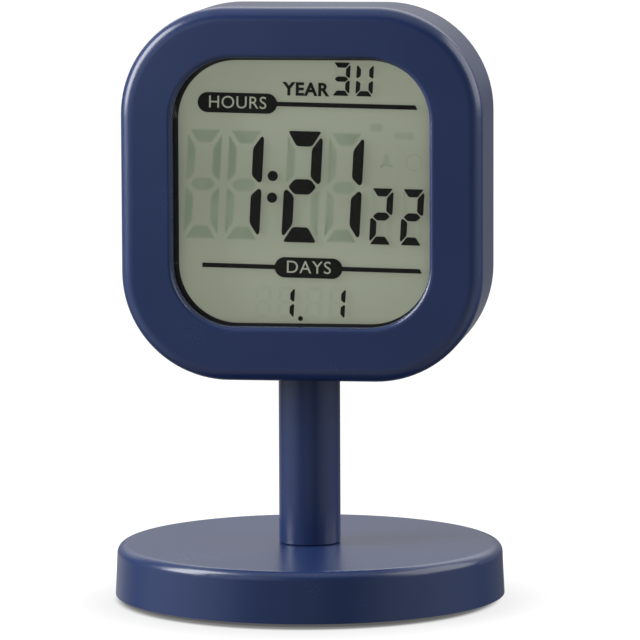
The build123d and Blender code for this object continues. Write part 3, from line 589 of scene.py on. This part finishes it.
def rounded(corners, setback):
    """Outline whose corners P become (1-s)^2 A + 2s(1-s) P + s^2 B, with A and B a set-back away from P."""
    arms = []
    for neighbour in (np.roll(corners, 1, axis=0), np.roll(corners, -1, axis=0)):
        side = neighbour - corners
        length = np.linalg.norm(side, axis=1, keepdims=True)
        arms.append(corners + side / length * np.minimum(setback, 0.45 * length))
    s = np.linspace(0, 1, CORNER_STEPS)[None, :, None]
    curve = (1 - s) ** 2 * arms[0][:, None] + 2 * s * (1 - s) * corners[:, None] + s**2 * arms[1][:, None]
    return curve.reshape(-1, 2)


def arc(middle, radius, start, end):
    """Points middle + radius (cos t, sin t) for t from start to end."""
    turn = np.linspace(start, end, ARC_STEPS)
    return np.asarray(middle) + radius * np.stack([np.cos(turn), np.sin(turn)], axis=1)


def circle(middle, radius):
    """Whole turn of points about a middle."""
    return arc(middle, radius, 0, 2 * pi * (1 - 1 / ARC_STEPS))


def plate(outline, front, back):
    """Thin plate: rings of the outline, scaled 0 to 1 on the front and 1 to 0 on the back."""
    edge = 0.25 * (back - front)
    scale = np.array([0, 0.985, 1, 1, 0])[:, None, None]
    depth = np.array([front, front, front + edge, back, back])
    middle = outline.mean(axis=0)
    flat = middle + scale * (outline - middle)
    y = np.broadcast_to(depth[:, None], flat.shape[:2])
    return np.stack([flat[..., 0], y, flat[..., 1]], axis=-1)


def soft_plate(outline, rim, front, back):
    """Thin plate with a front ring drawn in along the normals, and each point's share of strength."""
    side = np.roll(outline, -1, axis=0) - np.roll(outline, 1, axis=0)
    normal = np.stack([side[:, 1], -side[:, 0]], axis=1)
    middle = outline.mean(axis=0)
    normal *= np.sign(np.sum(normal * (outline - middle)))
    inner = outline - rim * normal / np.linalg.norm(normal, axis=1, keepdims=True)
    centre = np.broadcast_to(middle, outline.shape)
    flat = np.stack([centre, inner, outline, outline, centre])
    depth = np.array([front, front, front, back, back])
    y = np.broadcast_to(depth[:, None], flat.shape[:2])
    share = np.broadcast_to(np.array([1.0, 1.0, 0.0, 0.0, 0.0])[:, None], flat.shape[:2])
    return np.stack([flat[..., 0], y, flat[..., 1]], axis=-1), share


def soft_band(middle, radius, stroke, front, back):
    """Flat ring, strongest along its middle: a section carried round a circle; its end rows coincide."""
    half = stroke / 2
    radii = radius + half * np.array([-1, 0, 1, 1, -1, -1])
    depth = np.array([front, front, front, back, back, front])
    turn = np.linspace(0, 2 * pi, ARC_STEPS, endpoint=False)
    x = middle[0] + radii[:, None] * np.cos(turn)
    z = middle[1] + radii[:, None] * np.sin(turn)
    share = np.broadcast_to(np.array([0.0, 1.0, 0.0, 0.0, 0.0, 0.0])[:, None], x.shape)
    return np.stack([x, np.broadcast_to(depth[:, None], x.shape), z], axis=-1), share


def turned(radii, along, origin):
    """Turned part on X: points at a distance along X and a radius, carried round the axis."""
    turn = np.linspace(0, 2 * pi, TURN_STEPS, endpoint=False)
    y = origin[1] + radii[:, None] * np.cos(turn)
    z = origin[2] + radii[:, None] * np.sin(turn)
    return np.stack([np.broadcast_to(origin[0] + along[:, None], y.shape), y, z], axis=-1)


def digit_outlines(size):
    """Corner points of a digit's seven segments by letter, about the digit's middle."""
    width, height, stroke_x, stroke_z, gap = size
    side = width / 2
    top = height / 2
    inner = side - stroke_x
    half = stroke_z / 2
    end = side - BAR_END_INSET * gap
    tip = side - MIDDLE_TIP_INSET * gap
    upper = np.array([(-end, top), (end, top), (inner, top - stroke_z), (-inner, top - stroke_z)])
    right = np.array([
        (side, top - UPRIGHT_OUTER_DROP * gap),
        (side - UPRIGHT_TIP_INSET * gap, top - UPRIGHT_TIP_DROP * gap),
        (inner, top - stroke_z - UPRIGHT_INNER_DROP * gap),
        (inner, half + UPRIGHT_INNER_RISE * gap),
        (side - UPRIGHT_END_INSET * gap, gap),
        (side, UPRIGHT_OUTER_RISE * gap),
    ])
    middle = np.array([(-tip, 0), (-inner, half), (inner, half), (tip, 0), (inner, -half), (-inner, -half)])
    flip = np.array([-1, 1])
    return {
        "a": upper,
        "b": right,
        "c": right * -flip,
        "d": upper * -flip,
        "e": -right,
        "f": right * flip,
        "g": middle,
    }


def digit_segments(lit):
    """Size and corners, in millimetres from the window's middle, of every lit or every unlit segment."""
    slant = bpy.context.scene.clock_sizes.slant
    segments = []
    for size, x, z, letters in DIGITS:
        shapes = digit_outlines(size)
        for letter in SEGMENTS:
            if (letter in letters) == lit:
                corners = shapes[letter]
                lean = slant * corners[:, 1]
                segments.append((size, np.stack([x + corners[:, 0] + lean, z + corners[:, 1]], axis=1)))
    return segments


def badge_outline(left, right, height, pill_x, length, pill_height):
    """A pill with a rule out of one or both ends: arcs of the pill between the rule's corners."""
    radius = pill_height / 2
    reach = length / 2 - radius
    half = RULE_THICK / 2
    cut = np.arcsin(half / radius)
    right_end = (pill_x + reach, height)
    left_end = (pill_x - reach, height)
    parts = [
        arc(right_end, radius, -pi / 2, -cut),
        [(right + RULE_SLANT, height - half), (right, height + half)],
        arc(right_end, radius, cut, pi / 2),
    ]
    if left is None:
        parts.append(arc(left_end, radius, pi / 2, 3 * pi / 2))
    else:
        parts.append(arc(left_end, radius, pi / 2, pi - cut))
        parts.append([(left, height + half), (left, height - half)])
        parts.append(arc(left_end, radius, pi + cut, 3 * pi / 2))
    return np.concatenate(parts)


def on_print(outline):
    """Turn an outline with the whole print and carry it from millimetres to its place in metres."""
    turn = bpy.context.scene.clock_sizes.print_turn
    spin = np.array([(cos(turn), sin(turn)), (-sin(turn), cos(turn))])
    return np.asarray(outline) @ spin * MM + np.array([WINDOW_X, WINDOW_Z + PRINT_LIFT])


def word_mesh(text, height, spacing, weight, thick):
    """Letters of a capital height as a mesh about the origin, facing -Y, with their back at zero."""
    letters = bpy.data.curves.new("letters", "FONT")
    letters.body = text
    letters.size = height / CAPITAL_SHARE
    letters.space_character = spacing
    letters.offset = weight
    letters.extrude = thick / 2
    letters.align_x = "CENTER"
    letters.align_y = "CENTER"
    letters.resolution_u = 6
    carrier = bpy.data.objects.new("letters", letters)
    bpy.context.scene.collection.objects.link(carrier)
    bpy.context.view_layer.update()
    mesh = bpy.data.meshes.new_from_object(carrier.evaluated_get(bpy.context.evaluated_depsgraph_get()))
    bpy.data.objects.remove(carrier)
    bpy.data.curves.remove(letters)
    mesh.transform(Matrix.Rotation(pi / 2, 4, "X") @ Matrix.Translation((0, 0, thick / 2)))
    return mesh


def put_word(name, word, depth, material):
    """A printed word on the display, with its back on a depth."""
    sizes = bpy.context.scene.clock_sizes
    text, x, z, height, spacing, weight = word
    mesh = word_mesh(text, height * MM, spacing, weight * MM, sizes.film)
    spot = on_print([(x, z)])[0]
    place = Matrix.Translation((spot[0], depth, spot[1]))
    mesh.transform(place @ Matrix.Rotation(-sizes.print_turn, 4, "Y"))
    return put_piece(name, mesh, "clock", material)


def dress(material, *nodes):
    """Give CAD nodes a finish."""
    for name in nodes:
        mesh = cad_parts[name].data
        mesh.materials.clear()
        mesh.materials.append(material)


class CLOCK_OT_housing(bpy.types.Operator):
    """Satin navy on the head, the base and the post"""

    bl_idname = "clock.housing"
    bl_label = "Housing"

    def execute(self, context):
        navy = context.scene.clock_colours.navy
        satin = moulded("satin_navy", navy, 0.26, ior=1.52)
        dress(satin, "front_case", "rear_cover", "battery_door", "base_cover")
        dress(moulded("navy_enamel", navy, 0.24, ior=1.52), "post")
        button = moulded("button_navy", shade(navy, 0.8)[:3], 0.45, grain=0.4 * MM, ior=1.46)
        dress(button, *[name + "_button" for name in LEGENDS])
        return {"FINISHED"}


class CLOCK_OT_stand(bpy.types.Operator):
    """Weight, base plate, foot pad and fasteners"""

    bl_idname = "clock.stand"
    bl_label = "Stand and fasteners"

    def execute(self, context):
        steel = drawn_metal("bright_steel", (0.58, 0.58, 0.57), 0.32)
        dress(steel, "base_plate_screws", "case_screws", "board_screws", "post_screw", "head_screw")
        dress(steel, "post_washer", "head_washer", "quartz_crystal")
        dress(drawn_metal("weight_steel", (0.25, 0.25, 0.26), 0.45, lines=(1.0, 12.0, 1.0)), "base_weight")
        foam = moulded("foam_rubber", (0.014, 0.014, 0.014), 0.9, grain=0.5 * MM, depth=0.03 * MM)
        dress(foam, "foot_pad", "foam_strip")
        black = moulded("black_moulding", (0.010, 0.010, 0.011), 0.5, grain=0.3 * MM)
        dress(black, "base_plate", "lcd_holder", "switch_bodies", *[name + "_plunger" for name in LEGENDS])
        return {"FINISHED"}


class CLOCK_OT_display(bpy.types.Operator):
    """Clear lens, tape, reflector film and the glass cell round the figures"""

    bl_idname = "clock.display"
    bl_label = "Display layers"

    def execute(self, context):
        dress(clear_sheet("clear_acrylic", (0.985, 0.99, 0.985), 0.012), "display_lens")
        dress(moulded("black_tape", (0.012, 0.012, 0.012), 0.7, grain=0.2 * MM), "lens_tape")
        dress(display_face("reflector_film", context.scene.clock_colours.face), "lcd_reflector")
        dress(zebra_rubber(), "zebra_strip")
        low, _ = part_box("lcd_polariser")
        _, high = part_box("lcd_rear_glass")
        corners = np.array([(low.x, low.z), (high.x, low.z), (high.x, high.z), (low.x, high.z)])
        sheet = plate(rounded(corners, 0.3 * MM), low.y, CELL_BACK)
        sandwich = display_cell(context.scene.clock_colours.face, (FIGURE_BACK + CELL_BACK) / 2)
        cell = put_mesh("lcd_cell", [sheet], "clock", sandwich)
        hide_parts("lcd_polariser", "lcd_front_glass", "lcd_rear_glass", "lcd_seal")
        return {"FINISHED"}


class CLOCK_OT_figures(bpy.types.Operator):
    """Lit digits, dots, rules and pills of the display"""

    bl_idname = "clock.figures"
    bl_label = "Lit figures"

    def execute(self, context):
        share = context.scene.clock_sizes.corner
        outlines = [rounded(corners, share * size[3]) for size, corners in digit_segments(True)]
        outlines += [circle((x, z), radius) for x, z, radius in DOTS]
        outlines += [badge_outline(*badge) for badge in BADGES]
        grids = [plate(on_print(outline), FIGURE_FRONT, FIGURE_BACK) for outline in outlines]
        ink = figure_ink(context.scene.clock_colours.figure)
        piece = put_mesh("lit_figures", grids, "clock", ink)
        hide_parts("lcd_segments")
        for word in DARK_WORDS:
            put_word("dark_word", word, FIGURE_BACK, ink)
        return {"FINISHED"}


class CLOCK_OT_faint_figures(bpy.types.Operator):
    """Faint trace of the unlit segments and signs"""

    bl_idname = "clock.faint_figures"
    bl_label = "Faint figures"

    def execute(self, context):
        sizes = context.scene.clock_sizes
        soft = sizes.soft_corner / MM
        traces = [(rounded(corners, soft), TRACES[size]) for size, corners in digit_segments(False)]
        width, height = BELL_SIZE
        bell = BELL_SHAPE * (width, height) + np.array(BELL_MIDDLE)
        traces.append((rounded(bell, soft), SIGN_TRACE))
        for x, z, length, high in PLAIN_FIELDS:
            field = np.array([(-1, -1), (1, -1), (1, 1), (-1, 1)]) * (length / 2, high / 2) + np.array([x, z])
            traces.append((rounded(field, soft), SIGN_TRACE))
        back = CELL_BACK - FILM_GAP / 2
        front = back - sizes.film
        grids = []
        fades = []
        for outline, trace in traces:
            rim = min(TRACE_RIM, TRACE_RIM_SHARE * min(np.ptp(outline, axis=0))) * MM
            grid, share = soft_plate(on_print(outline), rim, front, back)
            grids.append(grid)
            fades.append(trace * share)
        middle = on_print([TIMER_MIDDLE])[0]
        grid, share = soft_band(middle, TIMER_RADIUS * MM, TIMER_STROKE * MM, front, back)
        grids.append(grid)
        fades.append(SIGN_TRACE * share)
        colours = context.scene.clock_colours
        ink = faint_ink(colours.face, colours.faint)
        put_mesh("faint_figures", grids, "clock", ink, ("fade", fades))
        return {"FINISHED"}


class CLOCK_OT_labels(bpy.types.Operator):
    """Light words on the pills and moulded words beside the buttons"""

    bl_idname = "clock.labels"
    bl_label = "Words"

    def execute(self, context):
        colours = context.scene.clock_colours
        light = display_face("light_letters", colours.face)
        for i, word in enumerate(LIGHT_WORDS):
            put_word("pill_word_" + str(i + 1), word, FIGURE_FRONT, light)
        rubbed = moulded("rubbed_navy", shade(colours.navy, LEGEND_PALER)[:3], 0.5)
        for name, text in LEGENDS.items():
            low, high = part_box(name + "_button")
            mesh = word_mesh(text, LEGEND_HEIGHT * MM, LEGEND_SPACING, 0.0, LEGEND_PROUD * MM)
            spot = ((low.x + high.x) / 2, COVER_BACK, (low.z + high.z) / 2 + LEGEND_RISE * MM)
            mesh.transform(Matrix.Translation(spot) @ Matrix.Rotation(pi, 4, "Z"))
            put_piece(name + "_legend", mesh, "clock", rubbed)
        return {"FINISHED"}


class CLOCK_OT_electronics(bpy.types.Operator):
    """Board, chip, sounder, wires and contacts"""

    bl_idname = "clock.electronics"
    bl_label = "Electronics"

    def execute(self, context):
        dress(solder_mask((0.02, 0.12, 0.05)), "main_board")
        dress(moulded("chip_epoxy", (0.008, 0.008, 0.008), 0.2, grain=1 * MM), "clock_chip")
        dress(moulded("capacitor_ceramic", (0.40, 0.28, 0.17), 0.5), "board_capacitors")
        dress(moulded("piezo_ceramic", (0.72, 0.71, 0.68), 0.4), "buzzer_ceramic")
        dress(moulded("wire_sheath", (0.35, 0.02, 0.02), 0.4), "buzzer_leads")
        dress(drawn_metal("rolled_brass", (0.72, 0.50, 0.20), 0.3), "buzzer_disc")
        nickel = drawn_metal("nickel_strip", (0.66, 0.63, 0.57), 0.25)
        dress(nickel, "contact_positive", "contact_negative", "contact_bridge")
        return {"FINISHED"}


class CLOCK_OT_cells(bpy.types.Operator):
    """Two sleeved battery cells, lying opposite ways"""

    bl_idname = "clock.cells"
    bl_label = "Battery cells"

    def execute(self, context):
        low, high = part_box("battery_cells")
        radius = (high.y - low.y) / 2
        radii, steps = np.array(CELL_PROFILE).T * np.array([[radius], [MM]])
        length = steps[-1]
        grids = []
        shares = []
        for z, way in ((high.z - radius, -1), (low.z + radius, 1)):
            origin = (way * (high.x - length), (low.y + high.y) / 2, z)
            grid = turned(radii, way * steps, origin)
            grids.append(grid)
            shares.append(np.broadcast_to((steps / length)[:, None], grid.shape[:2]))
        piece = put_mesh("sleeved_cells", grids, "clock", cell_sleeve(), ("along", shares))
        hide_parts("battery_cells")
        return {"FINISHED"}


class CLOCK_OT_stage(bpy.types.Operator):
    """Pale floor, soft studio light and the camera"""

    bl_idname = "clock.stage"
    bl_label = "Stage"

    def execute(self, context):
        studio = context.scene.clock_studio
        pale_floor(context.scene.clock_colours.floor)
        studio_world(context.scene)
        for name, (place, size) in LIGHTS.items():
            soft_light(name, place, size, getattr(studio, name + "_power"))
        place_camera(context.scene, studio)
        context.scene.view_settings.view_transform = "Standard"
        return {"FINISHED"}


def pale_floor(colour):
    """Wide round floor just under the foot pad; it glows evenly away from the clock, with painted shadow
    round the base, and the clock doesn't see it.
    """
    turn = np.linspace(0, 2 * pi, FLOOR_STEPS, endpoint=False)
    x = FLOOR_RINGS[:, None] * np.cos(turn)
    y = FLOOR_RINGS[:, None] * np.sin(turn)
    index = np.arange(x.size).reshape(x.shape)
    after = np.roll(index, -1, axis=1)
    mesh = bpy.data.meshes.new("floor")
    faces = np.stack([index[:-1], index[1:], after[1:], after[:-1]], axis=-1).reshape(-1, 4)
    mesh.from_pydata(np.stack([x, y, 0 * x - FLOOR_DROP], axis=-1).reshape(-1, 3), [], faces)
    mesh.materials.append(painted_shadow_floor(colour))
    floor = bpy.data.objects.new("floor", mesh)
    bpy.context.scene.collection.objects.link(floor)
    floor.visible_glossy = False
    floor.visible_diffuse = False


def painted_shadow_floor(colour):
    """Pale paper with its own glow, and a painted soft shadow round the base with a darker painted contact
    shadow along its front edge.
    """
    finish = Finish("pale_floor", specular_ior_level=0.0, emission_strength=1.0)
    x, y, _ = finish.axes(finish.place)
    reach = []
    for ahead in (SHADE_AHEAD, CONTACT_SHADOW_AHEAD):
        forward = y + ahead
        reach.append(finish.node("ShaderNodeMath", {"operation": "SQRT"}, {0: x * x + forward * forward}))
    shadow, contact_shadow = reach
    # Painted shadow: the glow drops under the base, darkest along its front edge, and rises through a soft
    # patch ahead of the clock
    glow = 0.1 + 0.6 * contact_shadow.ramp(35.5 * MM, 38 * MM)
    glow = glow + 0.15 * shadow.ramp(28 * MM, 46 * MM) + 0.2 * shadow.ramp(40 * MM, 62 * MM)
    paper = finish.noise(3 * MM)
    finish.colour(finish.mix(paper, shade(colour, 0.99), shade(colour, 1.0)))
    finish.rough(0.9 + 0.05 * paper)
    finish.plug(finish.shader.inputs["Emission Color"], finish.mix(glow, (0, 0, 0, 1), (1, 1, 1, 1)))
    return finish.material


def studio_world(scene):
    """White for the camera; for light, bright above, behind and on the left, dim in front and below."""
    world = bpy.data.worlds.new("studio")
    world.use_nodes = True
    scene.world = world
    board = Board(world.node_tree)
    direction = board.node("ShaderNodeTexCoord", output="Generated")
    x, y, z = board.axes(direction)
    left = (-0.95 * x - 0.31 * y).ramp(0.6, 0.97)
    right = (0.985 * x - 0.17 * y).ramp(0.55, 0.97)
    front = 1 - y.ramp(-1.0, -0.85)
    low = (1 - x.ramp(-0.02, 0.12)) * (1 - z.ramp(-0.1, -0.02))
    rear = y.ramp(0.3, 0.9) * (0.13 + 0.3 * low + 0.15 * z.ramp(-0.03, 0.04) + 0.85 * z.ramp(0.17, 0.4))
    below = (1 - z.ramp(-0.45, -0.08)) * (1 - y.ramp(-0.2, 0.4))
    level = 0.04 + 0.2 * front + 0.5 * left + 0.36 * right + 0.35 * below + rear + 0.7 * z.ramp(0.55, 0.95)
    seen = board.node("ShaderNodeLightPath", output="Is Camera Ray")
    strength = seen + (1 - seen) * level
    backdrop = world.node_tree.nodes["Background"]
    backdrop.inputs["Color"].default_value = (1, 1, 1, 1)
    board.plug(backdrop.inputs["Strength"], strength)


def soft_light(name, place, size, power):
    """Rectangular soft light that faces the clock's middle."""
    lamp = bpy.data.lights.new(name, "AREA")
    lamp.shape = "RECTANGLE"
    lamp.size, lamp.size_y = size
    lamp.energy = power
    light = bpy.data.objects.new(name, lamp)
    bpy.context.scene.collection.objects.link(light)
    light.location = place
    target = (CAD_BOX[0] + CAD_BOX[1]) / 2
    light.rotation_mode = "QUATERNION"
    light.rotation_quaternion = (target - Vector(place)).to_track_quat("-Z", "Y")
    light.visible_camera = False


def place_camera(scene, studio):
    """Camera of the photograph's view: a long lens a little to the right and above."""
    camera = bpy.data.objects.new("camera", bpy.data.cameras.new("camera"))
    scene.collection.objects.link(camera)
    camera.data.lens = studio.lens
    camera.location = studio.camera_place
    turn, tilt = studio.camera_turn, studio.camera_tilt
    forward = Vector((-sin(turn) * cos(tilt), cos(turn) * cos(tilt), -sin(tilt)))
    camera.rotation_mode = "QUATERNION"
    camera.rotation_quaternion = forward.to_track_quat("-Z", "Y") @ Quaternion((0, 0, 1), studio.camera_roll)
    camera.data.clip_start = 0.05
    camera.data.clip_end = 50
    scene.camera = camera


OPERATORS = [
    CLOCK_OT_housing,
    CLOCK_OT_stand,
    CLOCK_OT_display,
    CLOCK_OT_figures,
    CLOCK_OT_faint_figures,
    CLOCK_OT_labels,
    CLOCK_OT_electronics,
    CLOCK_OT_cells,
    CLOCK_OT_stage,
]


class CLOCK_PT_sidebar(bpy.types.Panel):
    """Settings and steps of the clock's looks"""

    bl_idname = "CLOCK_PT_sidebar"
    bl_label = "Digital alarm clock"
    bl_space_type = "VIEW_3D"
    bl_region_type = "UI"
    bl_category = "Clock"

    def draw(self, context):
        for group in (context.scene.clock_sizes, context.scene.clock_colours, context.scene.clock_studio):
            box = self.layout.box()
            for name in group.bl_rna.properties.keys()[2:]:
                box.prop(group, name)
        for operator in OPERATORS:
            self.layout.operator(operator.bl_idname)


GROUPS = {"clock_sizes": ClockSizes, "clock_colours": ClockColours, "clock_studio": ClockStudio}


def register():
    for name, group in GROUPS.items():
        bpy.utils.register_class(group)
        setattr(bpy.types.Scene, name, bpy.props.PointerProperty(type=group))
    for operator in OPERATORS:
        bpy.utils.register_class(operator)
    bpy.utils.register_class(CLOCK_PT_sidebar)


def unregister():
    bpy.utils.unregister_class(CLOCK_PT_sidebar)
    for operator in reversed(OPERATORS):
        bpy.utils.unregister_class(operator)
    for name, group in GROUPS.items():
        delattr(bpy.types.Scene, name)
        bpy.utils.unregister_class(group)


def main():
    """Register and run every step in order."""
    register()
    for operator in OPERATORS:
        area, step = operator.bl_idname.split(".")
        getattr(getattr(bpy.ops, area), step)()


if __name__ == "__main__":
    main()
